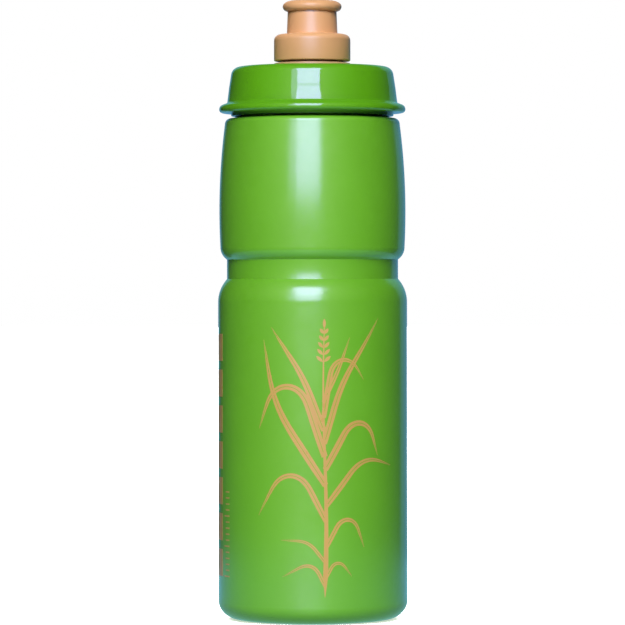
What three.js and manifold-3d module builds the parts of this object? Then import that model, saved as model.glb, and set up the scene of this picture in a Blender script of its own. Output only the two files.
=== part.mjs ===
// A squeezable 750 ml bicycle water bottle: blow-moulded body, screw cap and push-pull drinking nozzle.
// Millimetres, +Z up. The origin is the centre of the foot ring, on the surface that the bottle stands on.
import * as THREE from "three";
import { mergeVertices } from "three/addons/utils/BufferGeometryUtils.js";
import Module from "manifold-3d";

const wasm = await Module();
wasm.setup();

// ---------------------------------------------------------------- driving dimensions

const BODY_SIDES = 36; // facets round the body, cap and gasket
const NOZZLE_SIDES = 28; // facets round the nozzle and its valve
const EDGE = 0.4; // small bevel on moulded edges

const BARREL_R = 37.2; // the barrel that a bottle cage grips
const WALL = 1.1;
const BASE_CORNER_R = 7.0;
const FOOT_WIDTH = 2.0; // flat ring that the bottle stands on
const PUSH_UP = 5.0; // height of the base's hollow at its centre
const PUSH_UP_FULLNESS = 0.82; // how far out the hollow stays near its full height

const WAIST_R = 33.56; // groove that the cage's tab snaps into
const WAIST_BOTTOM = 133.9;
const WAIST_TOP = 139.9;
const LOWER_SHOULDER_R = 13.5;
const LOWER_SHOULDER_Z = 124.3; // where the lower barrel starts to curve in
const UPPER_LIP_R = 5.8;
const UPPER_LIP_Z = 145.85; // where the upper barrel starts to curve in
const UPPER_EASE = 1.2; // height of the corner between the waist and the upper lip
const GRIP_R = 36.52; // widest part of the bulging upper barrel
const GRIP_Z = 160.0;
const GRIP_CURVE_R = 265.0;
const SHOULDER_Z = 196.25;
const SHOULDER_CORNER_R = 2.3;

const NECK_R = 28.2;
const NECK_WALL = 1.8;
const NECK_TOP = 213.2;

const THREAD_LEAD = 6.0;
const THREAD_BEAD_R = 1.4; // round section of both threads
const NECK_THREAD_TURNS = 1.25;
const CAP_THREAD_TURNS = 1.0;
const NECK_THREAD_Z = 203.0; // lower end of the neck's thread
const THREAD_DROP = 2.4; // the cap's thread lies this far below the neck's

const CAP_TOP = 216.6;
const CAP_PLATE = 2.2;
const CAP_BORE_R = 10.5;
const CAP_INNER_R = 30.2;
const CAP_TOP_R = 31.75; // outside, just below the rounded top edge
const CAP_SKIRT_R = 33.3; // outside, just above the flange
const CAP_EDGE_R = 3.4;
const FLANGE_R = 36.6;
const FLANGE_TOP = 202.4;
const FLANGE_BOTTOM = 198.65;
const SKIRT_BOTTOM = 197.3;
const SKIRT_BOTTOM_R = 31.9;

const GASKET_THICKNESS = 1.0;
const GASKET_OVERHANG = 0.8; // past the neck's rim, inwards
const GASKET_SIDE_GAP = 0.8; // to the cap's wall
const FACE_GAP = 0.1; // between faces that rest on each other

const STEM_FLANGE_R = 15.0; // the valve stem's flange, on top of the cap
const STEM_FLANGE_TOP = 218.35;
const SPIGOT_R = CAP_BORE_R - 0.3;
const SPIGOT_BOTTOM = 211.2;
const SNAP_BEAD_R = CAP_BORE_R + 0.45; // bead that holds the stem in the cap
const SNAP_BEAD_HEIGHT = 1.2;
const SNAP_GAP = 0.15;
const TOWER_R = 10.3;
const TOWER_TOP = 227.5;
const TOWER_BORE_R = 8.4;
const TOWER_LID = 1.2;
const STEM_R = 6.3;
const STEM_BORE_R = 3.8;
const STEM_TOP = 237.0;
const PIN_R = 2.9;
const PIN_TOP = 241.4;
const WINDOW_WIDTH = 5.0;
const WINDOW_BOTTOM = 231.0;
const WINDOW_TOP = 235.6;
const STEM_WINDOWS = 3;

const NOZZLE_TRAVEL = 4.5;
const STOP_LIP_R = TOWER_R + 0.2; // lip inside the sleeve, which the tower's stop bead catches
const STOP_BEAD_R = TOWER_R + 0.45;
const STOP_BEAD_HEIGHT = 0.8;
const COLLAR_R = 15.0;
const COLLAR_BOTTOM = 218.9;
const COLLAR_TOP = 229.4;
const COLLAR_EDGE_R = 4.1;
const SPOUT_BOTTOM_R = 9.95;
const SPOUT_TOP_R = 9.58;
const SPOUT_TOP = 238.45;
const LIP_R = 11.55;
const LIP_WIDEST_Z = 240.35;
const LIP_TOP = 242.7;
const LIP_FLAT_R = 7.4; // where the lip's rounded top begins
const MOUTH_R = 3.2;
const MOUTH_RIM_R = 4.8; // where the dish round the mouth turns down into its bore
const MOUTH_RIM_DROP = 0.5;
const MOUTH_BORE_DROP = 1.2;

const SLEEVE_WALL = 1.2;
const SLEEVE_BOTTOM = COLLAR_BOTTOM + 0.3;
const SLEEVE_BORE_R = 10.9;
const SLEEVE_NECK_BORE_R = 6.8;
const SLEEVE_SHOULDER_Z = TOWER_TOP + 0.4;
const SLEEVE_CEILING_Z = STEM_TOP + 0.3;
const SLEEVE_TOP = STEM_TOP + 1.2;
const OUTLET_R = MOUTH_R + 1.0; // hole in the sleeve's top
const STOP_LIP_TOP = SLEEVE_BOTTOM + 0.7;

// The tower's stop bead and, above it, the groove of the nozzle's O-ring.
const STOP_BEAD_BOTTOM = STOP_LIP_TOP + NOZZLE_TRAVEL + FACE_GAP;
const SLIDE_GROOVE_BOTTOM = STOP_BEAD_BOTTOM + STOP_BEAD_HEIGHT;
const SLIDE_GROOVE_TOP = TOWER_TOP - 0.5;
const SLIDE_RING_R = TOWER_R - 0.25;
const SLIDE_RING_SECTION = 0.75;
const RING_GAP = 0.05; // between an O-ring and its groove

// The recess in the cap's top for the valve stem's O-ring.
const SEAT_R = 12.6;
const SEAT_WIDTH = 1.4;
const SEAT_DEPTH = 1.0;
const SEAT_RING_SECTION = 0.5;

// ---------------------------------------------------------------- helpers

const radians = (degrees) => (degrees * Math.PI) / 180;
const at = (r, z) => new THREE.Vector2(r, z);

// Points round an arc in the half-plane of a lathe profile, centred at radius r and height z.
function arc(r, z, radius, from, to, steps) {
  const curve = new THREE.EllipseCurve(r, z, radius, radius, radians(from), radians(to), to < from);
  return curve.getPoints(steps);
}

// Points of a corner that eases from one point to another, bending at the third.
function ease(start, end, corner, steps) {
  return new THREE.QuadraticBezierCurve(start, corner, end).getPoints(steps);
}

// Turns a profile of (radius, height) points about the Z axis.
function turned(points, sides) {
  return new THREE.LatheGeometry(points, sides).rotateX(Math.PI / 2);
}

// A profile that is a closed ring, given without its repeated first point.
function ring(points, sides) {
  return turned([...points, points[0]], sides);
}

function solid(geometry) {
  const bare = geometry.index ? geometry.toNonIndexed() : geometry.clone();
  bare.deleteAttribute("normal");
  bare.deleteAttribute("uv");
  const merged = mergeVertices(bare, 1e-3);
  return new wasm.Manifold(
    new wasm.Mesh({
      numProp: 3,
      vertProperties: merged.attributes.position.array,
      triVerts: new Uint32Array(merged.index.array),
    }),
  );
}

function geometryOf(body) {
  const { vertProperties, triVerts } = body.getMesh();
  const geometry = new THREE.BufferGeometry();
  geometry.setAttribute("position", new THREE.BufferAttribute(vertProperties, 3));
  geometry.setIndex(new THREE.BufferAttribute(triVerts, 1));
  geometry.computeVertexNormals();
  return geometry;
}

// A right-handed helix about the Z axis, so that turning it anticlockwise seen from above lifts it.
class Helix extends THREE.Curve {
  constructor(radius, bottom, startTurn, turns) {
    super();
    Object.assign(this, { radius, bottom, startTurn, turns });
  }
  getPoint(t, target = new THREE.Vector3()) {
    const turn = this.startTurn + t * this.turns;
    const angle = 2 * Math.PI * turn;
    return target.set(
      this.radius * Math.cos(angle),
      this.radius * Math.sin(angle),
      this.bottom + THREAD_LEAD * turn,
    );
  }
}

function threadBead(radius, bottom, startTurn, turns) {
  const section = new THREE.Shape().absarc(0, 0, THREAD_BEAD_R, 0, 2 * Math.PI);
  return new THREE.ExtrudeGeometry(section, {
    steps: Math.round(BODY_SIDES * turns),
    curveSegments: 4,
    extrudePath: new Helix(radius, bottom, startTurn, turns),
  });
}

// ---------------------------------------------------------------- materials

const GREEN = 0x6aae22;
const CAP_GREEN = 0x539a0e;
const TAN = 0xd0a67c;
const plastic = (color, roughness) => new THREE.MeshStandardMaterial({ color, roughness, metalness: 0 });

const materials = {
  body: plastic(GREEN, 0.32),
  cap: plastic(CAP_GREEN, 0.18),
  rubber: plastic(TAN, 0.55),
  hardTan: plastic(TAN, 0.4),
  silicone: plastic(0xe9e7e0, 0.6),
};

// ---------------------------------------------------------------- bottle

// The bottle's wall from the centre of its base to the foot of its neck, moved inwards by inset.
function wallProfile(inset) {
  const footOuter = BARREL_R - BASE_CORNER_R;
  const footInner = footOuter - FOOT_WIDTH;
  const lowerCentre = BARREL_R - LOWER_SHOULDER_R;
  const lowerEnd = 40;
  const upperCentre = gripRadius(UPPER_LIP_Z) - UPPER_LIP_R;
  const upperStart = -45;
  const gripCentre = GRIP_R - GRIP_CURVE_R;
  const gripAngle = (z) => (Math.asin((z - GRIP_Z) / GRIP_CURVE_R) * 180) / Math.PI;
  const cornerZ = SHOULDER_Z - SHOULDER_CORNER_R;
  const lowerArc = arc(lowerCentre, LOWER_SHOULDER_Z, LOWER_SHOULDER_R - inset, 0, lowerEnd, 4);
  const upperArc = arc(upperCentre, UPPER_LIP_Z, UPPER_LIP_R - inset, upperStart, 0, 3);
  const waist = WAIST_R - inset;
  return [
    ...ease(at(0, PUSH_UP + inset), at(footInner, inset), at(PUSH_UP_FULLNESS * footInner, PUSH_UP + inset), 4),
    ...arc(footOuter, BASE_CORNER_R, BASE_CORNER_R - inset, -90, 0, 4),
    ...lowerArc,
    at(waist, WAIST_BOTTOM),
    ...ease(at(waist, WAIST_TOP), upperArc[0], at(waist, WAIST_TOP + UPPER_EASE), 2).slice(0, -1),
    ...upperArc.slice(0, -1),
    ...arc(gripCentre, GRIP_Z, GRIP_CURVE_R - inset, gripAngle(UPPER_LIP_Z), gripAngle(cornerZ), 4),
    ...arc(gripRadius(cornerZ) - SHOULDER_CORNER_R, cornerZ, SHOULDER_CORNER_R - inset, 0, 90, 3).slice(1),
  ];
}

// Outside radius of the bulging upper barrel at a height.
function gripRadius(z) {
  return GRIP_R - GRIP_CURVE_R + Math.sqrt(GRIP_CURVE_R ** 2 - (z - GRIP_Z) ** 2);
}

function bottleBody() {
  const neckInner = NECK_R - NECK_WALL;
  const shell = turned(
    [
      ...wallProfile(0),
      at(NECK_R + 2 * EDGE, SHOULDER_Z),
      at(NECK_R, SHOULDER_Z + 2 * EDGE),
      at(NECK_R, NECK_TOP - EDGE),
      at(NECK_R - EDGE, NECK_TOP),
      at(neckInner, NECK_TOP),
      at(neckInner, SHOULDER_Z - WALL),
      ...wallProfile(WALL).reverse(),
    ],
    BODY_SIDES,
  );
  const thread = threadBead(NECK_R, NECK_THREAD_Z, 0, NECK_THREAD_TURNS);
  return geometryOf(solid(shell).add(solid(thread)));
}

// ---------------------------------------------------------------- cap

function screwCap() {
  const plateBottom = CAP_TOP - CAP_PLATE;
  const seatInner = SEAT_R - SEAT_WIDTH / 2;
  const seatOuter = SEAT_R + SEAT_WIDTH / 2;
  const seatFloor = CAP_TOP - SEAT_DEPTH;
  const edgeCentre = CAP_TOP_R - CAP_EDGE_R;
  const flangeUpperR = 2.6;
  const flangeLowerR = FLANGE_TOP - FLANGE_BOTTOM - flangeUpperR;
  const shell = ring(
    [
      at(CAP_BORE_R, plateBottom),
      at(CAP_BORE_R, CAP_TOP),
      at(seatInner, CAP_TOP),
      at(seatInner, seatFloor),
      at(seatOuter, seatFloor),
      at(seatOuter, CAP_TOP),
      ...arc(edgeCentre, CAP_TOP - CAP_EDGE_R, CAP_EDGE_R, 90, 0, 4),
      at(CAP_SKIRT_R, FLANGE_TOP + 2 * EDGE),
      at(CAP_SKIRT_R + EDGE, FLANGE_TOP),
      ...arc(FLANGE_R - flangeUpperR, FLANGE_TOP - flangeUpperR, flangeUpperR, 80, 0, 3),
      ...arc(FLANGE_R - flangeLowerR, FLANGE_BOTTOM + flangeLowerR, flangeLowerR, 0, -90, 2).slice(1),
      at(SKIRT_BOTTOM_R + EDGE, FLANGE_BOTTOM),
      at(SKIRT_BOTTOM_R, FLANGE_BOTTOM - EDGE),
      at(SKIRT_BOTTOM_R, SKIRT_BOTTOM),
      at(CAP_INNER_R + EDGE, SKIRT_BOTTOM),
      at(CAP_INNER_R, SKIRT_BOTTOM + 2 * EDGE),
      at(CAP_INNER_R, plateBottom),
    ].reverse(),
    BODY_SIDES,
  );
  const startTurn = (NECK_THREAD_TURNS - CAP_THREAD_TURNS) / 2;
  const thread = threadBead(CAP_INNER_R, NECK_THREAD_Z - THREAD_DROP, startTurn, CAP_THREAD_TURNS);
  return geometryOf(solid(shell).add(solid(thread)));
}

// Flat seal between the cap and the rim of the neck.
function capGasket() {
  const bottom = NECK_TOP + FACE_GAP;
  const top = bottom + GASKET_THICKNESS;
  const inner = NECK_R - NECK_WALL - GASKET_OVERHANG;
  const outer = CAP_INNER_R - GASKET_SIDE_GAP;
  return ring([at(inner, bottom), at(outer, bottom), at(outer, top), at(inner, top)], BODY_SIDES);
}

// ---------------------------------------------------------------- valve, fixed in the cap

// Hollow tower with side windows, and a pin on top that plugs the nozzle's mouth.
function valveStem() {
  const flangeBottom = CAP_TOP + FACE_GAP;
  const beadTop = CAP_TOP - CAP_PLATE - SNAP_GAP;
  const ceiling = TOWER_TOP - TOWER_LID;
  const grooveR = SLIDE_RING_R - SLIDE_RING_SECTION - RING_GAP;
  const body = turned(
    [
      at(0, WINDOW_TOP),
      at(STEM_BORE_R, WINDOW_TOP),
      at(STEM_BORE_R, ceiling),
      at(TOWER_BORE_R, ceiling),
      at(TOWER_BORE_R, SPIGOT_BOTTOM),
      at(SPIGOT_R, SPIGOT_BOTTOM),
      at(SPIGOT_R, beadTop - SNAP_BEAD_HEIGHT),
      at(SNAP_BEAD_R, beadTop - EDGE),
      at(SNAP_BEAD_R, beadTop),
      at(SPIGOT_R, beadTop),
      at(SPIGOT_R, flangeBottom),
      at(STEM_FLANGE_R, flangeBottom),
      at(STEM_FLANGE_R, STEM_FLANGE_TOP - EDGE),
      at(STEM_FLANGE_R - EDGE, STEM_FLANGE_TOP),
      at(TOWER_R, STEM_FLANGE_TOP),
      at(TOWER_R, STOP_BEAD_BOTTOM),
      at(STOP_BEAD_R, STOP_BEAD_BOTTOM),
      at(STOP_BEAD_R, SLIDE_GROOVE_BOTTOM - EDGE),
      at(TOWER_R, SLIDE_GROOVE_BOTTOM),
      at(grooveR, SLIDE_GROOVE_BOTTOM),
      at(grooveR, SLIDE_GROOVE_TOP),
      at(TOWER_R, SLIDE_GROOVE_TOP),
      at(TOWER_R, TOWER_TOP),
      at(STEM_R, TOWER_TOP),
      at(STEM_R, STEM_TOP),
      at(PIN_R, STEM_TOP),
      ...arc(0, PIN_TOP - PIN_R, PIN_R, 0, 90, 4),
    ],
    NOZZLE_SIDES,
  );
  const height = WINDOW_TOP - WINDOW_BOTTOM;
  const depth = STEM_R + 1; // from the axis to just past the wall
  const cutters = Array.from({ length: STEM_WINDOWS }, (_, i) =>
    new THREE.BoxGeometry(depth, WINDOW_WIDTH, height)
      .translate(depth / 2, 0, WINDOW_BOTTOM + height / 2)
      .rotateZ(radians((360 / STEM_WINDOWS) * (i + 0.5))),
  );
  return geometryOf(cutters.reduce((made, cutter) => made.subtract(solid(cutter)), solid(body)));
}

function oRing(r, z, sectionR) {
  return new THREE.TorusGeometry(r, sectionR, 8, NOZZLE_SIDES).translate(0, 0, z);
}

function stemSealRing() {
  return oRing(SEAT_R, CAP_TOP + RING_GAP - SEAT_RING_SECTION, SEAT_RING_SECTION);
}

function nozzleSealRing() {
  return oRing(SLIDE_RING_R, (SLIDE_GROOVE_BOTTOM + SLIDE_GROOVE_TOP) / 2, SLIDE_RING_SECTION);
}

// ---------------------------------------------------------------- nozzle, slides on the stem

// Hard sleeve that runs on the tower and carries the soft mouthpiece.
function nozzleSleeve() {
  const skirtR = SLEEVE_BORE_R + SLEEVE_WALL;
  const neckR = SLEEVE_NECK_BORE_R + SLEEVE_WALL;
  return ring(
    [
      at(STOP_LIP_R, SLEEVE_BOTTOM),
      at(skirtR, SLEEVE_BOTTOM),
      at(skirtR, SLEEVE_SHOULDER_Z - EDGE),
      at(skirtR - EDGE, SLEEVE_SHOULDER_Z),
      at(neckR, SLEEVE_SHOULDER_Z),
      at(neckR, SLEEVE_TOP),
      at(OUTLET_R, SLEEVE_TOP),
      at(OUTLET_R, SLEEVE_CEILING_Z),
      at(SLEEVE_NECK_BORE_R, SLEEVE_CEILING_Z),
      at(SLEEVE_NECK_BORE_R, TOWER_TOP + FACE_GAP),
      at(SLEEVE_BORE_R, TOWER_TOP + FACE_GAP),
      at(SLEEVE_BORE_R, STOP_LIP_TOP),
      at(STOP_LIP_R, STOP_LIP_TOP),
    ],
    NOZZLE_SIDES,
  );
}

// Soft mouthpiece: collar, spout and bite lip in one moulding.
function nozzleMouthpiece() {
  const skirtR = SLEEVE_BORE_R + SLEEVE_WALL + FACE_GAP;
  const neckR = SLEEVE_NECK_BORE_R + SLEEVE_WALL + FACE_GAP;
  const shoulder = SLEEVE_SHOULDER_Z + FACE_GAP;
  const ceiling = SLEEVE_TOP + FACE_GAP;
  const lipR = LIP_WIDEST_Z - SPOUT_TOP;
  const lipTop = new THREE.EllipseCurve(
    LIP_FLAT_R,
    LIP_WIDEST_Z,
    LIP_R - LIP_FLAT_R,
    LIP_TOP - LIP_WIDEST_Z,
    0,
    Math.PI / 2,
  );
  return ring(
    [
      at(skirtR, COLLAR_BOTTOM),
      at(COLLAR_R - EDGE, COLLAR_BOTTOM),
      at(COLLAR_R, COLLAR_BOTTOM + EDGE),
      ...arc(COLLAR_R - COLLAR_EDGE_R, COLLAR_TOP - COLLAR_EDGE_R, COLLAR_EDGE_R, 0, 90, 4),
      at(SPOUT_BOTTOM_R + EDGE, COLLAR_TOP),
      at(SPOUT_BOTTOM_R, COLLAR_TOP + EDGE),
      at(SPOUT_TOP_R, SPOUT_TOP),
      ...arc(LIP_R - lipR, LIP_WIDEST_Z, lipR, -70, 0, 3),
      ...lipTop.getPoints(5).slice(1),
      at(MOUTH_RIM_R, LIP_TOP - MOUTH_RIM_DROP),
      at(MOUTH_R, LIP_TOP - MOUTH_BORE_DROP),
      at(MOUTH_R, ceiling),
      at(neckR, ceiling),
      at(neckR, shoulder),
      at(skirtR, shoulder),
    ],
    NOZZLE_SIDES,
  );
}

// ---------------------------------------------------------------- assembly

function part(name, geometry, material) {
  const mesh = new THREE.Mesh(geometry, material);
  mesh.name = name;
  return mesh;
}

const bottle = new THREE.Group();
bottle.add(part("bottle_body", bottleBody(), materials.body));

const capAssembly = new THREE.Group();
capAssembly.add(
  part("screw_cap", screwCap(), materials.cap),
  part("cap_gasket", capGasket(), materials.silicone),
  part("valve_stem", valveStem(), materials.hardTan),
  part("stem_seal_ring", stemSealRing(), materials.silicone),
  part("nozzle_seal_ring", nozzleSealRing(), materials.silicone),
);

const nozzle = new THREE.Group();
nozzle.add(
  part("nozzle_sleeve", nozzleSleeve(), materials.hardTan),
  part("nozzle_mouthpiece", nozzleMouthpiece(), materials.rubber),
);

capAssembly.add(nozzle);
bottle.add(capAssembly);

export default bottle;
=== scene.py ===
# A soft plastic bicycle water bottle: moulded body, screw cap, push-pull nozzle and printed front.
# The bottle's sizes are in millimetres until a mesh is made. Mesh, camera, lights and floor are in metres.
import math

import bmesh
import bpy
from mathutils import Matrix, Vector


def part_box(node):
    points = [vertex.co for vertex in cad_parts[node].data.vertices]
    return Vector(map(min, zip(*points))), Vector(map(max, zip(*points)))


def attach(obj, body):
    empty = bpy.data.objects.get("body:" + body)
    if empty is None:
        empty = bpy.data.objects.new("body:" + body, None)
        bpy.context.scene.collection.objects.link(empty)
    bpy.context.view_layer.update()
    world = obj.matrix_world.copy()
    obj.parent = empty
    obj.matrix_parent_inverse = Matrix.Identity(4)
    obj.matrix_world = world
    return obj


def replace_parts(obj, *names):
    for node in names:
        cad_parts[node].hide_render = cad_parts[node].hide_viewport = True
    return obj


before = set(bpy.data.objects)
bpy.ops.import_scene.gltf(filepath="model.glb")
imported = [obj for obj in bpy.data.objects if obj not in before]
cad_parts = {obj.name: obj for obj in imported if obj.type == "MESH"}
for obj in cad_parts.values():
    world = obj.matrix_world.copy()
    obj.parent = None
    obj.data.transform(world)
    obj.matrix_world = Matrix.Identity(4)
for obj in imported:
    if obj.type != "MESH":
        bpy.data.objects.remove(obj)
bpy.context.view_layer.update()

MM = 0.001


def box_mm(node):
    """A CAD node's lowest and highest corner, in millimetres."""
    low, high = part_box(node)
    return [v / MM for v in low], [v / MM for v in high]


# ---------------------------------------------------------------- driving dimensions

BOTTLE_HIGH = box_mm("bottle_body")[1]
CAP_LOW, CAP_HIGH = box_mm("screw_cap")
GASKET_LOW, GASKET_HIGH = box_mm("cap_gasket")
STEM_LOW, STEM_HIGH = box_mm("valve_stem")
SEAT_RING_LOW, SEAT_RING_HIGH = box_mm("stem_seal_ring")
SLIDE_RING_LOW, SLIDE_RING_HIGH = box_mm("nozzle_seal_ring")
SLEEVE_LOW, SLEEVE_HIGH = box_mm("nozzle_sleeve")
NOZZLE_LOW, NOZZLE_HIGH = box_mm("nozzle_mouthpiece")

SIDES = 160  # facets round every turned piece
STEP = 0.35  # longest edge along a rounded corner
THREAD_ROW = 0.25  # height of the facets under a thread
SAME_R = 1e-4  # radii that differ by less are the same wall
CAD_MARGIN = 0.01  # how far the widest places stay inside the CAD

SEAM_HEIGHT = 0.04  # ridge where the mould's halves met
SEAM_HALF_WIDTH = 0.38
BARREL_DRAFT = 0.08  # the lower end is wider by this
BARREL_R = BOTTLE_HIGH[0] - BARREL_DRAFT - SEAM_HEIGHT - CAD_MARGIN  # at its top end
WALL = 1.1
PUSH_UP = 5.0
PUSH_UP_CURVE = 0.84  # how far out the hollow of the base stays high, as a part of the foot's radius
FOOT_INNER_R = 28.2
FOOT_OUTER_R = 29.0
BASE_CORNER_HEIGHT = 7.0

WAIST_R = 33.56
LOWER_SHOULDER_R = 13.5
LOWER_SHOULDER_Z = 124.3
LOWER_SHOULDER_END = 41  # degrees
UPPER_LIP_R = 5.8
UPPER_LIP_Z = 145.85
UPPER_LIP_END = 53  # degrees
GRIP_R = 36.52
GRIP_Z = 160.0
GRIP_CURVE_R = 265.0
GRIP_ROW = 3.0  # height of the facets up the grip
SHOULDER_Z = 196.4
SHOULDER_CORNER_R = 2.15

NECK_R = 28.2
NECK_WALL = 1.8
NECK_TOP = BOTTLE_HIGH[2]
NECK_RIM = 0.8  # plain band above the thread
THREAD_LEAD = 6.0
THREAD_HEIGHT = 1.4
THREAD_HALF_WIDTH = 1.45
NECK_THREAD_Z = 203.0
NECK_THREAD_TURNS = 1.25
THREAD_DROP = 2.4  # the cap's thread sits this far under the neck's
CAP_THREAD_TURNS = 1.0

CAP_TOP = CAP_HIGH[2]
CAP_PLATE = 2.2
CAP_BORE_R = 10.5
CAP_INNER_R = 30.2
CAP_TOP_R = 31.4
CAP_TOP_EDGE = 3.4
CAP_SIDE_R, CAP_SIDE_Z = 32.62, 208.8
CAP_SIDE_BOW = 40
CAP_FOOT_R = 33.42
SKIRT_R = 31.9
SEAT_INNER_R, SEAT_OUTER_R = 11.9, 13.3  # groove for the ring under the valve
SEAT_DEPTH = 1.0
FLANGE_R = CAP_HIGH[0] - CAD_MARGIN
FLANGE_TOP = 202.4
FLANGE_BOTTOM = 198.6

STEM_FLANGE_R = STEM_HIGH[0]
STEM_FLANGE_TOP = 218.1
SPIGOT_R = CAP_BORE_R - 0.3
SNAP_BEAD_R = CAP_BORE_R + 0.45
TOWER_R = 10.3
TOWER_TOP = 227.5
TOWER_LID = 1.2
TOWER_BORE_R = 8.4
STOP_BEAD_Z = 224.5
STOP_BEAD_HEIGHT = 0.8
STOP_BEAD_R = TOWER_R + 0.45
STOP_LIP_TOP = SLEEVE_LOW[2] + 0.7
STOP_LIP_R = TOWER_R + 0.2
STEM_R = 6.3
STEM_TOP = 237.0
STEM_BORE_R = 3.8
PIN_R = 2.9
WINDOWS = 3
WINDOW_LOW, WINDOW_HIGH = 231.0, 235.6
WINDOW_WIDTH = 5.0
SLEEVE_WALL = 1.2
SLEEVE_NECK_BORE_R = 6.8
COLLAR_R = NOZZLE_HIGH[0]
COLLAR_BOTTOM = NOZZLE_LOW[2]
COLLAR_TOP = 229.4
COLLAR_EDGE = 4.2
SPOUT_FOOT_R, SPOUT_END_R = 9.95, 9.58
SPOUT_TOP = 238.45
LIP_R = 11.55
LIP_WIDEST_Z = 240.35
LIP_FLAT_R = 7.4
LIP_TOP = NOZZLE_HIGH[2]
MOUTH_R = 3.2

INK_HEIGHT = 0.04
INK_ROOT = 0.08  # how deep the ink's underside is sunk in the wall
INK_LAYER = 0.0015  # step between crossing strips of ink
STALK_ACROSS = 4.6
STALK_LOW, STALK_HIGH = 11.0, 117.0
STALK_WIDTH = 2.2
MIDRIB = 0.2
FOLD_SPAN = 0.5  # part of a leaf's length over which it bends

PI = math.pi


# ---------------------------------------------------------------- camera, light and floor

CAMERA_DISTANCE = 1.6
EYE_HEIGHT = 0.1298
TARGET_HEIGHT = 0.1202
SIDE_OFFSET = -0.00004  # the bottle stands a hair right of the middle
LENS = 234.5
ROLL = math.radians(-0.09)

LIGHT_AIM_HEIGHT = 0.14
WHITE = (1.0, 1.0, 1.0)
WINDOW_COLOR = (0.50, 0.43, 1.0)
SHEET_COLOR = (0.2, 0.6, 1.0)
KEY_DISTANCE = 2.2
WINDOW_DISTANCE = 1.45
SHEET_DISTANCE = 1.4

# name, azimuth and elevation in degrees, width and height, radiance
COLOR_LIGHTS = [
    ("key_high", -4, 40, (1.0, 0.8), 25.8),
    ("key_low", -4, -47, (1.0, 1.0), 7.0),
    ("back_fill", 180, 30, (1.2, 1.0), 12.0),
]
GLOSS_WINDOWS = [
    ("window_low", -5.3, 12.8, (0.77, 0.42), 16.0),
    ("window_high", -5.3, 35.5, (0.77, 0.75), 22.0),
    ("window_side", -25.3, 27, (0.20, 1.15), 6.0),
]
GLOSS_SHEET = ("sheet_behind", 168.5, 5, (1.92, 1.6), 0.62)

FLOOR_R, FLOOR_Z = 12.0, -0.0002
PATCH_R, PATCH_Z = 0.35, -0.0004
PATCH_NEAR, PATCH_FAR = 0.06, 0.14  # distances from the bottle's axis between which it turns bluer


def look_at(obj, target):
    """Turns a camera or light so that it faces a point."""
    obj.rotation_euler = (Vector(target) - obj.location).to_track_quat("-Z", "Y").to_euler()


def make_camera():
    """A long lens, a little above the bottle's middle."""
    camera = bpy.data.objects.new("camera", bpy.data.cameras.new("camera"))
    bpy.context.scene.collection.objects.link(camera)
    camera.data.lens = LENS
    camera.data.sensor_width = 36
    camera.data.clip_start = 0.05
    camera.data.clip_end = 50
    camera.location = (SIDE_OFFSET, -CAMERA_DISTANCE, EYE_HEIGHT)
    look_at(camera, (SIDE_OFFSET, 0, TARGET_HEIGHT))
    camera.rotation_euler.rotate_axis("Z", ROLL)
    bpy.context.scene.camera = camera


def softbox(name, azimuth, elevation, size, radiance, distance, color, gloss):
    """A rectangular area light that faces the bottle. Azimuth 0 is the camera's side, 90 the right.
    A gloss light shows in reflections alone. Any other one lights the colour under them alone."""
    data = bpy.data.lights.new(name, "AREA")
    data.shape = "RECTANGLE"
    data.size, data.size_y = size
    data.energy = radiance * PI * size[0] * size[1]
    data.color = color
    light = bpy.data.objects.new(name, data)
    bpy.context.scene.collection.objects.link(light)
    a, e = math.radians(azimuth), math.radians(elevation)
    centre = Vector((0, 0, LIGHT_AIM_HEIGHT))
    direction = Vector((math.sin(a) * math.cos(e), -math.cos(a) * math.cos(e), math.sin(e)))
    light.location = centre + direction * distance
    look_at(light, centre)
    light.visible_camera = False
    light.visible_glossy = gloss
    light.visible_diffuse = not gloss


def lit_only(light, *receivers):
    """Makes a light shine on the receivers and nothing else."""
    group = bpy.data.collections.new(light.name + "_receivers")
    for receiver in receivers:
        group.objects.link(receiver)
    light.light_linking.receiver_collection = group


def make_world():
    """White behind the bottle, and a dim cool room for it to reflect."""
    world = bpy.data.worlds.new("room")
    bpy.context.scene.world = world
    world.use_nodes = True
    nodes, links = world.node_tree.nodes, world.node_tree.links
    nodes.clear()
    seen = nodes.new("ShaderNodeBackground")
    seen.inputs["Color"].default_value = (1, 1, 1, 1)
    room = nodes.new("ShaderNodeBackground")
    room.inputs["Color"].default_value = (0.4, 0.7, 1.0, 1)
    room.inputs["Strength"].default_value = 0.03
    path = nodes.new("ShaderNodeLightPath")
    mix = nodes.new("ShaderNodeMixShader")
    out = nodes.new("ShaderNodeOutputWorld")
    links.new(path.outputs["Is Camera Ray"], mix.inputs[0])
    links.new(room.outputs[0], mix.inputs[1])
    links.new(seen.outputs[0], mix.inputs[2])
    links.new(mix.outputs[0], out.inputs["Surface"])


def disc(name, radius, z, material):
    """A flat round piece of the set."""
    bm = bmesh.new()
    bmesh.ops.create_circle(bm, cap_ends=True, segments=96, radius=radius)
    mesh = bpy.data.meshes.new(name)
    bm.to_mesh(mesh)
    bm.free()
    mesh.materials.append(material)
    piece = bpy.data.objects.new(name, mesh)
    bpy.context.scene.collection.objects.link(piece)
    piece.location.z = z
    piece.visible_diffuse = False
    return piece


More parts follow.
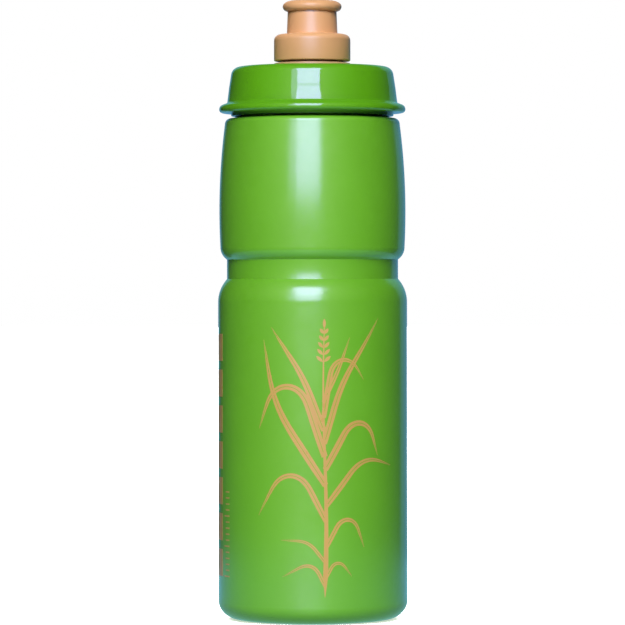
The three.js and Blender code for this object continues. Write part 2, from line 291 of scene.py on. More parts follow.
def floor_material():
    """Pale and matt, with a little glow."""
    material = bpy.data.materials.new("pale_floor")
    material.use_nodes = True
    shader = material.node_tree.nodes["Principled BSDF"]
    shader.inputs["Base Color"].default_value = (0.9, 0.9, 0.9, 1)
    shader.inputs["Roughness"].default_value = 0.9
    shader.inputs["Specular IOR Level"].default_value = 0.0
    shader.inputs["Emission Color"].default_value = (1, 1, 1, 1)
    shader.inputs["Emission Strength"].default_value = 0.5
    return material


def patch_material():
    """A glow that is greener close to the bottle and bluer away from it."""
    material = bpy.data.materials.new("lit_floor")
    material.use_nodes = True
    nodes, links = material.node_tree.nodes, material.node_tree.links
    place = nodes.new("ShaderNodeTexCoord")
    distance = nodes.new("ShaderNodeVectorMath")
    distance.operation = "LENGTH"
    links.new(place.outputs["Object"], distance.inputs[0])
    away = nodes.new("ShaderNodeMapRange")
    away.inputs["From Min"].default_value = PATCH_NEAR
    away.inputs["From Max"].default_value = PATCH_FAR
    links.new(distance.outputs["Value"], away.inputs["Value"])
    color = nodes.new("ShaderNodeMix")
    color.data_type = "RGBA"
    color.inputs["A"].default_value = (0.27, 0.62, 0.7, 1)
    color.inputs["B"].default_value = (0.25, 0.7, 1.0, 1)
    links.new(away.outputs["Result"], color.inputs["Factor"])
    shader = nodes["Principled BSDF"]
    shader.inputs["Base Color"].default_value = (0, 0, 0, 1)
    links.new(color.outputs["Result"], shader.inputs["Emission Color"])
    shader.inputs["Emission Strength"].default_value = 0.9
    return material


def make_floor():
    """A plain pale floor that the gloss doesn't show, over a lit patch that only the gloss shows."""
    floor = disc("floor", FLOOR_R, FLOOR_Z, floor_material())
    floor.visible_glossy = False
    floor.visible_shadow = False
    patch = disc("lit_floor_patch", PATCH_R, PATCH_Z, patch_material())
    patch.visible_camera = False
    patch.visible_shadow = False
    return floor


def make_lights(floor):
    """Soft light for the colour, windows and a pale sheet for the gloss, and a light for the floor."""
    for light in COLOR_LIGHTS:
        softbox(*light, KEY_DISTANCE, WHITE, gloss=False)
    for light in GLOSS_WINDOWS:
        softbox(*light, WINDOW_DISTANCE, WINDOW_COLOR, gloss=True)
    softbox(*GLOSS_SHEET, SHEET_DISTANCE, SHEET_COLOR, gloss=True)
    sun = bpy.data.lights.new("floor_light", "SUN")
    sun.energy = 9.0
    sun.angle = math.radians(120)
    floor_light = bpy.data.objects.new("floor_light", sun)
    bpy.context.scene.collection.objects.link(floor_light)
    lit_only(floor_light, floor)


# ---------------------------------------------------------------- outlines

def arc(r, z, radius, start, end, radius_z=None):
    """Points round an arc, in degrees, centred at radius r and height z."""
    radius_z = radius_z or radius
    steps = max(2, math.ceil(abs(math.radians(end - start)) * max(radius, radius_z) / STEP))
    angles = [math.radians(start + (end - start) * i / steps) for i in range(steps + 1)]
    return [(r + radius * math.cos(a), z + radius_z * math.sin(a)) for a in angles]


def bezier(points, steps):
    """Points along a quadratic or cubic Bezier curve."""
    made = []
    for i in range(steps + 1):
        t = i / steps
        level = [Vector(p) for p in points]
        while len(level) > 1:
            level = [a.lerp(b, t) for a, b in zip(level, level[1:])]
        made.append(tuple(level[0]))
    return made


def rounded(corners, closed=True):
    """An outline through (r, z, radius) corners, each rounded to its radius."""
    count = len(corners)
    made = []
    for i, (r, z, radius) in enumerate(corners):
        here = Vector((r, z))
        if not radius or (not closed and i in (0, count - 1)):
            made.append((r, z))
            continue
        before = Vector(corners[i - 1][:2])
        after = Vector(corners[(i + 1) % count][:2])
        back, ahead = (before - here).normalized(), (after - here).normalized()
        half = back.angle(ahead) / 2
        reach = min(radius / math.tan(half), 0.49 * (before - here).length, 0.49 * (after - here).length)
        size = reach * math.tan(half)
        centre = here + (back + ahead).normalized() * (size / math.sin(half))
        start = here + back * reach - centre
        sweep = start.angle_signed(here + ahead * reach - centre)
        steps = max(2, math.ceil(abs(sweep) * size / STEP))
        for k in range(steps + 1):
            turn = -sweep * k / steps
            c, s = math.cos(turn), math.sin(turn)
            made.append((centre.x + start.x * c - start.y * s, centre.y + start.x * s + start.y * c))
    return made


def with_thread_rows(outline, wall_r):
    """The same outline, with short steps up the wall that carries a thread."""
    made = []
    for a, b in zip(outline, outline[1:] + outline[:1]):
        on_wall = abs(a[0] - wall_r) < SAME_R and abs(b[0] - wall_r) < SAME_R
        rows = math.ceil(abs(b[1] - a[1]) / THREAD_ROW) if on_wall else 1
        made += [(a[0] + (b[0] - a[0]) * k / rows, a[1] + (b[1] - a[1]) * k / rows) for k in range(rows)]
    return made


# ---------------------------------------------------------------- meshes

def finish_mesh(name, bm, body, material, sharp=40):
    """Makes a piece that rides on a body. Edges steeper than sharp degrees stay crisp."""
    bmesh.ops.recalc_face_normals(bm, faces=bm.faces)
    mesh = bpy.data.meshes.new(name)
    bm.to_mesh(mesh)
    bm.free()
    mesh.shade_smooth()
    mesh.set_sharp_from_angle(angle=math.radians(sharp))
    piece = bpy.data.objects.new(name, mesh)
    bpy.context.scene.collection.objects.link(piece)
    mesh.materials.append(material)
    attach(piece, body)
    return piece


def facet_angles(extra=()):
    """Angles of a turned piece's facets: even steps and some extra ones."""
    even = [2 * PI * k / SIDES for k in range(SIDES)]
    return sorted(even + [angle % (2 * PI) for angle in extra])


def lathe(bm, outline, shift=None, extra=()):
    """Turns a closed outline about the Z axis. shift moves a point, given its angle, radius and height."""
    on_axis = 1e-6
    angles = facet_angles(extra)
    rings = []
    for r, z in outline:
        if r < on_axis:
            rings.append([bm.verts.new((0, 0, z * MM))])
            continue
        ring = []
        for angle in angles:
            radius = (shift(angle, r, z) if shift else r) * MM
            ring.append(bm.verts.new((radius * math.cos(angle), radius * math.sin(angle), z * MM)))
        rings.append(ring)
    for low, high in zip(rings, rings[1:] + rings[:1]):
        if len(low) == 1 and len(high) == 1:
            continue
        for k in range(len(angles)):
            corners = [low[k % len(low)], low[(k + 1) % len(low)]]
            corners += [high[(k + 1) % len(high)], high[k % len(high)]]
            bm.faces.new(list(dict.fromkeys(corners)))  # a triangle where a ring is one point


def turned(name, outline, body, material, shift=None, extra=(), sharp=40):
    """A piece turned from a closed outline."""
    bm = bmesh.new()
    lathe(bm, outline, shift, extra)
    return finish_mesh(name, bm, body, material, sharp)


def thread_height(angle, z, bottom, first_turn, last_turn):
    """How far a right-hand thread stands out at an angle and height. Its ends fade into the wall."""
    fade = 0.06  # turns
    tallest = 0.0
    for whole in range(-1, 3):
        turn = whole + angle / (2 * PI)
        if not first_turn <= turn <= last_turn:
            continue
        away = abs(z - bottom - THREAD_LEAD * turn) / THREAD_HALF_WIDTH
        if away >= 1:
            continue
        ends = min(1, (turn - first_turn) / fade, (last_turn - turn) / fade)
        tallest = max(tallest, math.sqrt(1 - away ** 2) * math.sin(ends * PI / 2))
    return THREAD_HEIGHT * tallest


# ---------------------------------------------------------------- bottle

def grip_radius(z):
    """Outside radius of the bulging upper barrel."""
    return GRIP_R - GRIP_CURVE_R + math.sqrt(GRIP_CURVE_R ** 2 - (z - GRIP_Z) ** 2)


def barrel_radius(z):
    """Outside radius of the lower barrel, which narrows a little upwards."""
    return BARREL_R + BARREL_DRAFT * (1 - z / LOWER_SHOULDER_Z)


def wall_outline(inset):
    """From the centre of the base to the foot of the neck, moved inwards by inset."""
    corner_z = SHOULDER_Z - SHOULDER_CORNER_R
    waist = WAIST_R - inset
    hollow_z = PUSH_UP + inset
    base = bezier([(0, hollow_z), (PUSH_UP_CURVE * FOOT_INNER_R, hollow_z), (FOOT_INNER_R, inset)], 24)
    corner_a = barrel_radius(BASE_CORNER_HEIGHT) - FOOT_OUTER_R - inset
    corner = arc(FOOT_OUTER_R, BASE_CORNER_HEIGHT, corner_a, -90, 0, BASE_CORNER_HEIGHT - inset)
    lower_centre = BARREL_R - LOWER_SHOULDER_R
    lower = arc(lower_centre, LOWER_SHOULDER_Z, LOWER_SHOULDER_R - inset, 0, LOWER_SHOULDER_END)
    upper_centre = grip_radius(UPPER_LIP_Z) - UPPER_LIP_R
    upper = arc(upper_centre, UPPER_LIP_Z, UPPER_LIP_R - inset, -UPPER_LIP_END, 0)
    lower_end, upper_start = lower[-1], upper[0]
    lower_drop = (lower_end[0] - waist) / math.tan(math.radians(LOWER_SHOULDER_END))
    upper_drop = (upper_start[0] - waist) / math.tan(math.radians(UPPER_LIP_END))
    hollow = rounded(
        [
            (*lower_end, 0),
            (waist, lower_end[1] + lower_drop, 0.5),
            (waist, upper_start[1] - upper_drop, 0.8),
            (*upper_start, 0),
        ],
        closed=False,
    )
    steps = math.ceil((corner_z - UPPER_LIP_Z) / GRIP_ROW)
    heights = [UPPER_LIP_Z + (corner_z - UPPER_LIP_Z) * i / steps for i in range(1, steps)]
    grip = [(grip_radius(z) - inset, z) for z in heights]
    top = arc(grip_radius(corner_z) - SHOULDER_CORNER_R, corner_z, SHOULDER_CORNER_R - inset, 0, 90)
    return base + corner + lower + hollow[1:-1] + upper + grip + top


def seam_height(angle):
    """How far the mould's seam stands out, down the left and right of the bottle."""
    away = min(abs(angle - side) for side in (0, PI, 2 * PI)) * BARREL_R
    return SEAM_HEIGHT * max(0, 1 - away / SEAM_HALF_WIDTH)


def make_bottle(material):
    """The hollow body: base, barrel, waist, grip, shoulder and threaded neck."""
    inner = NECK_R - NECK_WALL
    root_outer, root_inner = NECK_R + 3.5, inner + 3.0  # where the neck runs out into the shoulder
    root_rise = 0.35
    neck = rounded(
        [
            (root_outer, SHOULDER_Z, 0),
            (NECK_R, SHOULDER_Z + root_rise, 0.5),
            (NECK_R, NECK_TOP, 0.5),
            (inner, NECK_TOP, 0.4),
            (inner, SHOULDER_Z - WALL, 0.6),
            (root_inner, SHOULDER_Z - WALL, 0),
        ],
        closed=False,
    )
    outside = wall_outline(0)
    seamed = {point for point in outside if point[0] > FOOT_OUTER_R}

    def shift(angle, r, z):
        """Raises the mould's seam on the outside, and the thread on the neck."""
        if (r, z) in seamed:
            return r + seam_height(angle)
        if abs(r - NECK_R) < SAME_R and z < NECK_TOP - NECK_RIM:
            return r + thread_height(angle, z, NECK_THREAD_Z, 0, NECK_THREAD_TURNS)
        return r

    half = SEAM_HALF_WIDTH / BARREL_R
    seam_facets = [side + half * k / 2 for side in (0, PI) for k in (-2, -1, 1, 2)]
    outline = with_thread_rows(outside + neck + wall_outline(WALL)[::-1], NECK_R)
    bottle = turned("bottle_shell", outline, "bottle", material, shift, seam_facets)
    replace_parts(bottle, "bottle_body")


# ---------------------------------------------------------------- cap

def cap_shift(angle, r, z):
    """Raises the thread inwards from the cap's inner wall."""
    if abs(r - CAP_INNER_R) > SAME_R:
        return r
    first = (NECK_THREAD_TURNS - CAP_THREAD_TURNS) / 2
    return r - thread_height(angle, z, NECK_THREAD_Z - THREAD_DROP, first, first + CAP_THREAD_TURNS)


def make_cap(material):
    """The screw cap: top plate with its hole, bowed side, flange, and skirt with the thread inside."""
    plate_bottom = CAP_TOP - CAP_PLATE
    skirt_bottom = CAP_LOW[2]
    seat_floor = CAP_TOP - SEAT_DEPTH
    outline = rounded(
        [
            (CAP_BORE_R, plate_bottom, 0.2),
            (CAP_BORE_R, CAP_TOP, 0.2),
            (SEAT_INNER_R, CAP_TOP, 0.1),
            (SEAT_INNER_R, seat_floor, 0),
            (SEAT_OUTER_R, seat_floor, 0),
            (SEAT_OUTER_R, CAP_TOP, 0.1),
            (CAP_TOP_R, CAP_TOP, CAP_TOP_EDGE),
            (CAP_SIDE_R, CAP_SIDE_Z, CAP_SIDE_BOW),
            (CAP_FOOT_R, FLANGE_TOP + 0.05, 0.5),
            (FLANGE_R, FLANGE_TOP - 1.15, 2.0),
            (FLANGE_R, FLANGE_BOTTOM, 1.35),
            (SKIRT_R, FLANGE_BOTTOM, 0.3),
            (SKIRT_R, skirt_bottom, 0.3),
            (CAP_INNER_R + 0.4, skirt_bottom, 0.3),
            (CAP_INNER_R, skirt_bottom + 0.8, 0.3),
            (CAP_INNER_R, plate_bottom, 0),
        ]
    )
    outline = with_thread_rows(outline, CAP_INNER_R)
    cap = turned("cap_shell", outline, "cap", material, shift=cap_shift)
    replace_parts(cap, "screw_cap")


def make_gasket(material):
    """The flat ring between the cap and the neck's rim."""
    overhang = 0.8
    inner = NECK_R - NECK_WALL - overhang
    outer = GASKET_HIGH[0]
    low, high = GASKET_LOW[2], GASKET_HIGH[2]
    edge = 0.25
    outline = rounded([(inner, low, edge), (outer, low, edge), (outer, high, edge), (inner, high, edge)])
    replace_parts(turned("gasket_ring", outline, "seal", material), "cap_gasket")


def o_ring(name, low, high, node, material):
    """A ring of round section that fills its CAD node's box."""
    section = (high[2] - low[2]) / 2
    centre = high[0] - section
    steps = 20
    angles = [2 * PI * i / steps for i in range(steps)]
    outline = [(centre + section * math.cos(a), low[2] + section * (1 + math.sin(a))) for a in angles]
    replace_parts(turned(name, outline, "cap", material), node)


# ---------------------------------------------------------------- valve stem and nozzle

def window_cutter():
    """Rounded slots that open the stem's wall."""
    bm = bmesh.new()
    corner = 1.0
    half = WINDOW_WIDTH / 2
    inner_end, outer_end = 1.0, STEM_R + 1
    top = WINDOW_HIGH - 0.02  # just under the bore's end
    outline = rounded(
        [(-half, WINDOW_LOW, corner), (half, WINDOW_LOW, corner), (half, top, corner), (-half, top, corner)]
    )
    for k in range(WINDOWS):
        turn = 2 * PI * (k + 0.5) / WINDOWS
        c, s = math.cos(turn), math.sin(turn)
        near, far = [
            [bm.verts.new(((x * c - y * s) * MM, (x * s + y * c) * MM, z * MM)) for y, z in outline]
            for x in (inner_end, outer_end)
        ]
        bm.faces.new(near)
        bm.faces.new(far[::-1])
        for i in range(len(outline)):
            j = (i + 1) % len(outline)
            bm.faces.new([near[j], near[i], far[i], far[j]])
    bmesh.ops.recalc_face_normals(bm, faces=bm.faces)
    mesh = bpy.data.meshes.new("window_cutter")
    bm.to_mesh(mesh)
    bm.free()
    cutter = bpy.data.objects.new("window_cutter", mesh)
    bpy.context.scene.collection.objects.link(cutter)
    return cutter


def cut(piece, cutter):
    """Subtracts the cutter from the piece, and removes the cutter."""
    modifier = piece.modifiers.new("cut", "BOOLEAN")
    modifier.operation = "DIFFERENCE"
    modifier.solver = "EXACT"
    modifier.object = cutter
    graph = bpy.context.evaluated_depsgraph_get()
    made = bpy.data.meshes.new_from_object(piece.evaluated_get(graph))
    piece.modifiers.clear()
    piece.data = made
    bpy.data.objects.remove(cutter)


def make_stem(material):
    """The valve's fixed half: spigot with its snap bead, flange, tower, and stem with windows and pin."""
    flange_low = CAP_TOP + 0.1
    bead_top = CAP_TOP - CAP_PLATE - 0.15
    spigot_low = STEM_LOW[2]
    ceiling = TOWER_TOP - TOWER_LID
    groove_low, groove_high = STOP_BEAD_Z + STOP_BEAD_HEIGHT, TOWER_TOP - 0.5
    groove_r = SLIDE_RING_HIGH[0] - (SLIDE_RING_HIGH[2] - SLIDE_RING_LOW[2]) - 0.05
    sharp = 35
    outline = rounded(
        [
            (0, WINDOW_HIGH, 0),
            (STEM_BORE_R, WINDOW_HIGH, 0.3),
            (STEM_BORE_R, ceiling, 0.3),
            (TOWER_BORE_R, ceiling, 0.6),
            (TOWER_BORE_R, spigot_low, 0.3),
            (SPIGOT_R, spigot_low, 0.3),
            (SPIGOT_R, bead_top - 1.2, 0.3),
            (SNAP_BEAD_R, bead_top - 0.4, 0.15),
            (SNAP_BEAD_R, bead_top, 0.1),
            (SPIGOT_R, bead_top, 0.1),
            (SPIGOT_R, flange_low, 0.1),
            (STEM_FLANGE_R, flange_low, 0.15),
            (STEM_FLANGE_R, STEM_FLANGE_TOP, 0.35),
            (TOWER_R, STEM_FLANGE_TOP, 0.25),
            (TOWER_R, STOP_BEAD_Z, 0.1),
            (STOP_BEAD_R, STOP_BEAD_Z, 0.05),
            (STOP_BEAD_R, groove_low - 0.4, 0.15),
            (TOWER_R, groove_low, 0.05),
            (groove_r, groove_low, 0.15),
            (groove_r, groove_high, 0.15),
            (TOWER_R, groove_high, 0.1),
            (TOWER_R, TOWER_TOP, 0.2),
            (STEM_R, TOWER_TOP, 0.4),
            (STEM_R, STEM_TOP, 0.4),
            (PIN_R, STEM_TOP, 0.4),
            (PIN_R, STEM_HIGH[2], 1.6),
            (0, STEM_HIGH[2], 0),
        ]
    )
    stem = turned("valve_tower", outline, "cap", material, sharp=sharp)
    cut(stem, window_cutter())
    stem.data.set_sharp_from_angle(angle=math.radians(sharp))
    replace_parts(stem, "valve_stem")


def make_sleeve(material):
    """The nozzle's hard core, which slides on the tower until its lip meets the tower's bead."""
    low, high = SLEEVE_LOW[2], SLEEVE_HIGH[2]
    skirt = SLEEVE_HIGH[0]
    bore = skirt - SLEEVE_WALL
    neck = SLEEVE_NECK_BORE_R + SLEEVE_WALL
    mouth = MOUTH_R + 1.0
    shoulder = TOWER_TOP + 0.4
    ceiling = STEM_TOP + 0.3
    step = TOWER_TOP + 0.1
    outline = rounded(
        [
            (STOP_LIP_R, low, 0.2),
            (skirt, low, 0.2),
            (skirt, shoulder, 0.6),
            (neck, shoulder, 0.3),
            (neck, high, 0.3),
            (mouth, high, 0.2),
            (mouth, ceiling, 0.2),
            (SLEEVE_NECK_BORE_R, ceiling, 0.3),
            (SLEEVE_NECK_BORE_R, step, 0.2),
            (bore, step, 0.2),
            (bore, STOP_LIP_TOP, 0.1),
            (STOP_LIP_R, STOP_LIP_TOP, 0.1),
        ]
    )
    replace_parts(turned("sleeve_core", outline, "nozzle", material), "nozzle_sleeve")


def make_mouthpiece(material):
    """The nozzle's soft outside: collar, spout, bite lip and mouth."""
    skirt = SLEEVE_HIGH[0] + 0.1
    neck = 8.1
    shoulder = TOWER_TOP + 0.5
    ceiling = SLEEVE_HIGH[2] + 0.1
    lip_under = LIP_WIDEST_Z - SPOUT_TOP
    collar = rounded(
        [
            (skirt, COLLAR_BOTTOM, 0.2),
            (COLLAR_R, COLLAR_BOTTOM, 0.45),
            (COLLAR_R, COLLAR_TOP, COLLAR_EDGE),
            (SPOUT_FOOT_R, COLLAR_TOP, 0.5),
            (SPOUT_END_R, SPOUT_TOP, 0),
        ],
        closed=False,
    )
    lip = arc(LIP_R - lip_under, LIP_WIDEST_Z, lip_under, -75, 0)
    crown = arc(LIP_FLAT_R, LIP_WIDEST_Z, LIP_R - LIP_FLAT_R, 0, 90, LIP_TOP - LIP_WIDEST_Z)[1:]
    inside = rounded(
        [
            (LIP_FLAT_R - 0.01, LIP_TOP, 0),
            (MOUTH_R + 2.2, LIP_TOP - 0.35, 1.2),
            (MOUTH_R, LIP_TOP - 1.5, 0.8),
            (MOUTH_R, ceiling, 0.2),
            (neck, ceiling, 0.2),
            (neck, shoulder, 0.2),
            (skirt, shoulder, 0.3),
            (skirt, COLLAR_BOTTOM + 1, 0),
        ],
        closed=False,
    )
    outline = collar + lip + crown + inside
    piece = turned("mouthpiece_shell", outline, "nozzle", material)
    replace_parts(piece, "nozzle_mouthpiece")


# ---------------------------------------------------------------- print

def on_barrel(across, z, lift):
    """A point of the print. across is in mm round the barrel from its front, lift in mm off its wall."""
    angle = across / BARREL_R
    radius = (barrel_radius(z) + lift) * MM
    return (radius * math.sin(angle), -radius * math.cos(angle), z * MM)


def ink_sheet(bm, rows, layer=0):
    """A thin closed layer over a grid of (across, z) rows. Crossing sheets go in different layers."""
    height = INK_HEIGHT - layer * INK_LAYER
    top = [[bm.verts.new(on_barrel(*p, height)) for p in row] for row in rows]
    root = [[bm.verts.new(on_barrel(*p, -INK_ROOT)) for p in row] for row in rows]
    last, side = len(rows) - 1, len(rows[0]) - 1
    for i in range(last):
        for j in range(side):
            bm.faces.new([top[i][j], top[i][j + 1], top[i + 1][j + 1], top[i + 1][j]])
            bm.faces.new([root[i][j], root[i + 1][j], root[i + 1][j + 1], root[i][j + 1]])
        for j in (0, side):
            bm.faces.new([top[i][j], top[i + 1][j], root[i + 1][j], root[i][j]])
    for j in range(side):
        for i in (0, last):
            bm.faces.new([top[i][j], top[i][j + 1], root[i][j + 1], root[i][j]])


def strip(bm, spine, left, right, layer=0):
    """A strip of ink along a curve, between two offsets from it at each of its points."""
    columns = 3
    rows = []
    last = len(spine) - 1
    for i, (point, start, end) in enumerate(zip(spine, left, right)):
        along = Vector(spine[min(i + 1, last)]) - Vector(spine[max(i - 1, 0)])
        side = Vector((-along.y, along.x)).normalized()
        offsets = [start + (end - start) * k / columns for k in range(columns + 1)]
        rows.append([tuple(Vector(point) + side * offset) for offset in offsets])
    ink_sheet(bm, rows, layer)


def ribbon(bm, spine, half_widths, layer=0):
    """A strip of ink with the curve along its middle."""
    thinnest = 0.05
    halves = [max(half, thinnest) for half in half_widths]
    strip(bm, spine, [-half for half in halves], halves, layer)


def blade(bm, spine, half_widths, layer):
    """A leaf in two strips, with its midrib left unprinted between them."""
    thinnest, widest_rib = 0.08, 0.35  # the rib's width is held to a part of the leaf's
    edges = [max(half, thinnest) for half in half_widths]
    ribs = [min(MIDRIB / 2, widest_rib * edge) for edge in edges]
    strip(bm, spine, ribs, edges, layer)
    strip(bm, spine, [-edge for edge in edges], [-rib for rib in ribs], layer)


def stalk_across(z):
    """Where the stalk is at a height: it sways a little."""
    sway, wave = 0.55, 17
    return STALK_ACROSS + sway * math.sin((z - STALK_LOW) / wave)


def smoothstep(t):
    """From 0 to 1 in a soft S."""
    t = max(0, min(1, t))
    return t ** 2 * (3 - 2 * t)


def leaf_spine(z, side, lean, bend, fold, length):
    """A blade leaves the stalk at z, leaning outwards, and bends over to its last lean round the fold."""
    steps = 44
    across, height = stalk_across(z), z
    spine = [(across, height)]
    for i in range(steps):
        bent = smoothstep(((i + 0.5) / steps - fold) / FOLD_SPAN + 0.5)
        heading = math.radians(lean + (bend - lean) * bent)
        across += side * math.sin(heading) * length / steps
        height += math.cos(heading) * length / steps
        spine.append((across, height))
    return spine


def leaf_half_width(t, width):
    """A strap that widens fast from its root and tapers to a point."""
    return 0.88 * width * (t + 0.12) ** 0.35 * (1 - t) ** 0.75


LEAVES = [
    # root's height, side, first lean and last lean in degrees, place of the fold, length, width
    (15, -1, 26, 118, 0.45, 22, 1.4),
    (18, 1, 28, 142, 0.50, 16, 1.3),
    (24, -1, 38, 88, 0.50, 21, 1.3),
    (30, 1, 28, 160, 0.52, 28, 1.8),
    (40, -1, 27, 150, 0.52, 45, 2.2),
    (46, 1, 38, 106, 0.62, 38, 2.2),
    (54, -1, 33, 10, 0.60, 62, 2.8),
    (60, 1, 29, 162, 0.60, 40, 2.6),
    (65, -1, 18, 160, 0.60, 54, 2.8),
    (70, 1, 16, 34, 0.45, 54, 2.4),
    (75, -1, 21, 34, 0.50, 45, 2.5),
    (80, 1, 9, 148, 0.66, 37, 2.2),
    (86, 1, 26, 20, 0.50, 27, 1.6),
]


def husk(bm, z, side, lean, length, width, layer):
    """One husk of the ear, a pointed oval."""
    off_stalk = 0.3
    start = Vector((stalk_across(z) + side * off_stalk, z))
    tip = start + Vector((math.sin(lean) * side, math.cos(lean))) * length
    steps = 8
    spine = [tuple(start.lerp(tip, i / steps)) for i in range(steps + 1)]
    halves = [width / 2 * math.sin(PI * i / steps) ** 0.7 for i in range(steps + 1)]
    ribbon(bm, spine, halves, layer)


def make_plant(material):
    """A tall leafy grass with an ear, printed on the front."""
    bm = bmesh.new()
    steps = 80
    root_taper, top_taper = 9, 0.85  # mm of pointed root, and how much thinner the top is
    heights = [STALK_LOW + (STALK_HIGH - STALK_LOW) * i / steps for i in range(steps + 1)]
    halves = [STALK_WIDTH / 2 * min(1, 0.1 + (z - STALK_LOW) / root_taper) for z in heights]
    halves = [half * (1 - top_taper * (i / steps) ** 0.8) for i, half in enumerate(halves)]
    ribbon(bm, [(stalk_across(z), z) for z in heights], halves)
    for layer, (z, side, lean, bend, fold, length, width) in enumerate(LEAVES, 1):
        spine = leaf_spine(z, side, lean, bend, fold, length)
        last = len(spine) - 1
        blade(bm, spine, [leaf_half_width(i / last, width) for i in range(last + 1)], layer)
    pairs, pitch, first = 5, 2.7, 101.5
    for k in range(pairs):
        lean, length, width = 0.85 - 0.07 * k, 3.3 - 0.25 * k, 1.25
        for side in (-1, 1):
            layer = len(LEAVES) + 1 + (side > 0)
            husk(bm, first + pitch * k, side, lean, length, width, layer)
    tip_length, tip_width = 3.6, 1.2
    husk(bm, STALK_HIGH - 2.6, 0, 0, tip_length, tip_width, len(LEAVES) + 3)
    finish_mesh("front_print", bm, "bottle", material)


def ink_block(bm, left, right, low, high, columns, rows):
    """An upright rectangle of ink."""
    grid = [
        [(left + (right - left) * j / columns, low + (high - low) * i / rows) for j in range(columns + 1)]
        for i in range(rows + 1)
    ]
    ink_sheet(bm, grid)


def make_side_band(material):
    """A broken band of plain blocks down the side, and a column of fine ticks next to it."""
    bm = bmesh.new()
    low = 17.4
    left, right = math.radians(-103) * BARREL_R, math.radians(-71.5) * BARREL_R
    blocks, block, gap = 7, 10.6, 3.4
    for k in range(blocks):
        z = low + k * (block + gap)
        ink_block(bm, left, right, z, z + block, 14, 4)
    left, right = math.radians(-66) * BARREL_R, math.radians(-61) * BARREL_R
    ticks, pitch, thickness, long_tick = 15, 2.35, 0.5, 1.2
    for k in range(ticks):
        z = low + k * pitch
        start = left - (long_tick if k % 5 == 0 else 0)
        ink_block(bm, start, right, z, z + thickness, 3, 1)
    finish_mesh("side_print", bm, "bottle", material)


# ---------------------------------------------------------------- materials

MOTTLE = 0.03  # how far the clouds stray from the colour
UNEVEN = 0.1  # how far the roughness strays
CLOUD_SIZE, GLOSS_SIZE, COAT_SIZE = 22, 3, 9  # of the clouds and of the uneven gloss and coat
SATIN_COAT = 0.1  # part of the coat that is left on a satin top
SATIN_START, SATIN_FULL = 0.93, 0.99  # how far up a face looks where the coat fades


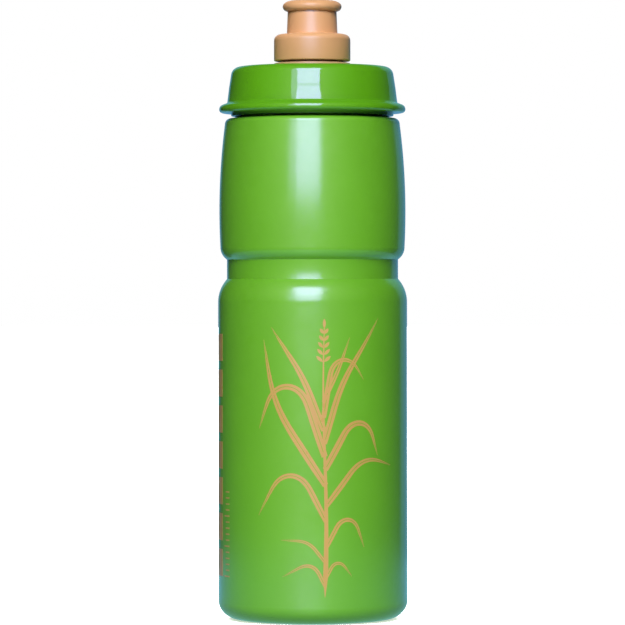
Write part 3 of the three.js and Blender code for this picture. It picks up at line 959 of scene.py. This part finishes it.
def plastic(name, color, roughness, haze, coat, skin, satin_top=False):
    """Moulded plastic: a colour in soft clouds, uneven gloss, and a fine uneven skin.
    haze is the strength and tint of the gloss under the coat, coat its weight and roughness, and
    skin the bumps' size and height. satin_top takes the coat off faces that look straight up."""
    haze_strength, haze_tint = haze
    coat_weight, coat_roughness = coat
    grain, bump_height = skin
    material = bpy.data.materials.new(name)
    material.use_nodes = True
    tree = material.node_tree
    nodes, links = tree.nodes, tree.links
    shader = nodes["Principled BSDF"]
    place = nodes.new("ShaderNodeTexCoord")

    def noise(size, detail):
        """Noise of a size in mm."""
        texture = nodes.new("ShaderNodeTexNoise")
        texture.inputs["Scale"].default_value = 1 / (size * MM)
        texture.inputs["Detail"].default_value = detail
        links.new(place.outputs["Object"], texture.inputs["Vector"])
        return texture.outputs["Fac"]

    def between(source, low, high, start=0.3, end=0.7):
        """Spreads the source's start to end over low to high."""
        ramp = nodes.new("ShaderNodeMapRange")
        ramp.inputs["From Min"].default_value = start
        ramp.inputs["From Max"].default_value = end
        ramp.inputs["To Min"].default_value = low
        ramp.inputs["To Max"].default_value = high
        links.new(source, ramp.inputs["Value"])
        return ramp.outputs["Result"]

    clouds = nodes.new("ShaderNodeMix")
    clouds.data_type = "RGBA"
    clouds.inputs["A"].default_value = (*[c * (1 - MOTTLE) for c in color], 1)
    clouds.inputs["B"].default_value = (*[c * (1 + MOTTLE) for c in color], 1)
    links.new(between(noise(CLOUD_SIZE, 3), 0, 1), clouds.inputs["Factor"])
    links.new(clouds.outputs["Result"], shader.inputs["Base Color"])
    smooth, rough = 1 - UNEVEN, 1 + UNEVEN
    uneven_gloss = between(noise(GLOSS_SIZE, 5), roughness * smooth, roughness * rough)
    links.new(uneven_gloss, shader.inputs["Roughness"])
    shader.inputs["Specular IOR Level"].default_value = haze_strength
    shader.inputs["Specular Tint"].default_value = (*haze_tint, 1)
    shader.inputs["Coat Weight"].default_value = coat_weight
    if satin_top:
        facing = nodes.new("ShaderNodeSeparateXYZ")
        links.new(place.outputs["Normal"], facing.inputs["Vector"])
        satin = between(facing.outputs["Z"], coat_weight, SATIN_COAT * coat_weight, SATIN_START, SATIN_FULL)
        links.new(satin, shader.inputs["Coat Weight"])
    uneven_coat = between(noise(COAT_SIZE, 4), coat_roughness * smooth, coat_roughness * rough)
    links.new(uneven_coat, shader.inputs["Coat Roughness"])
    bump = nodes.new("ShaderNodeBump")
    bump.inputs["Strength"].default_value = 1.0
    bump.inputs["Distance"].default_value = bump_height * MM
    links.new(noise(grain, 2), bump.inputs["Height"])
    links.new(bump.outputs["Normal"], shader.inputs["Normal"])
    links.new(bump.outputs["Normal"], shader.inputs["Coat Normal"])
    return material


def make_materials():
    """The object's plastics, silicone and ink. The tints and colours are linear red, green and blue."""
    warm, even, cool = (1.0, 0.95, 0.42), (1.0, 1.0, 1.0), (0.35, 0.95, 0.7)
    green, cap_green = (0.113, 0.381, 0.006), (0.090, 0.328, 0.003)
    # The valve's tan is darker and greener than the mouthpiece's: painted shade for its flange ring in the
    # gap under the collar, and a painted green reflection of the cap on that ring.
    hard_tan_painted_shade, soft_tan = (0.52, 0.32, 0.15), (0.69, 0.365, 0.172)
    milky, ink = (0.75, 0.74, 0.70), (0.50, 0.30, 0.078)
    return {
        "bottle": plastic("bottle_polyethylene", green, 0.64, (0.74, warm), (1.0, 0.19), (1.6, 0.004)),
        "cap": plastic("cap_polypropylene", cap_green, 0.54, (0.33, warm), (0.86, 0.06), (2.5, 0.003), True),
        "hard_tan_painted_shade": plastic("valve_polypropylene_painted_shade", hard_tan_painted_shade, 0.5, (0.4, even), (0.0, 0.3), (0.8, 0.004)),
        "soft_tan": plastic("mouthpiece_elastomer", soft_tan, 0.44, (0.5, cool), (0.0, 0.5), (0.5, 0.006)),
        "silicone": plastic("seal_silicone", milky, 0.5, (0.5, even), (0.0, 0.5), (0.6, 0.004)),
        "ink": plastic("printed_ink", ink, 0.7, (0.4, warm), (0.6, 0.3), (0.6, 0.003)),
    }


# ---------------------------------------------------------------- the bottle, put together

bpy.context.scene.view_settings.view_transform = "Standard"
make_camera()
make_world()
make_lights(make_floor())
looks = make_materials()
make_bottle(looks["bottle"])
make_cap(looks["cap"])
make_gasket(looks["silicone"])
o_ring("stem_o_ring", SEAT_RING_LOW, SEAT_RING_HIGH, "stem_seal_ring", looks["silicone"])
o_ring("slide_o_ring", SLIDE_RING_LOW, SLIDE_RING_HIGH, "nozzle_seal_ring", looks["silicone"])
make_stem(looks["hard_tan_painted_shade"])
make_sleeve(looks["hard_tan_painted_shade"])
make_mouthpiece(looks["soft_tan"])
make_plant(looks["ink"])
make_side_band(looks["ink"])
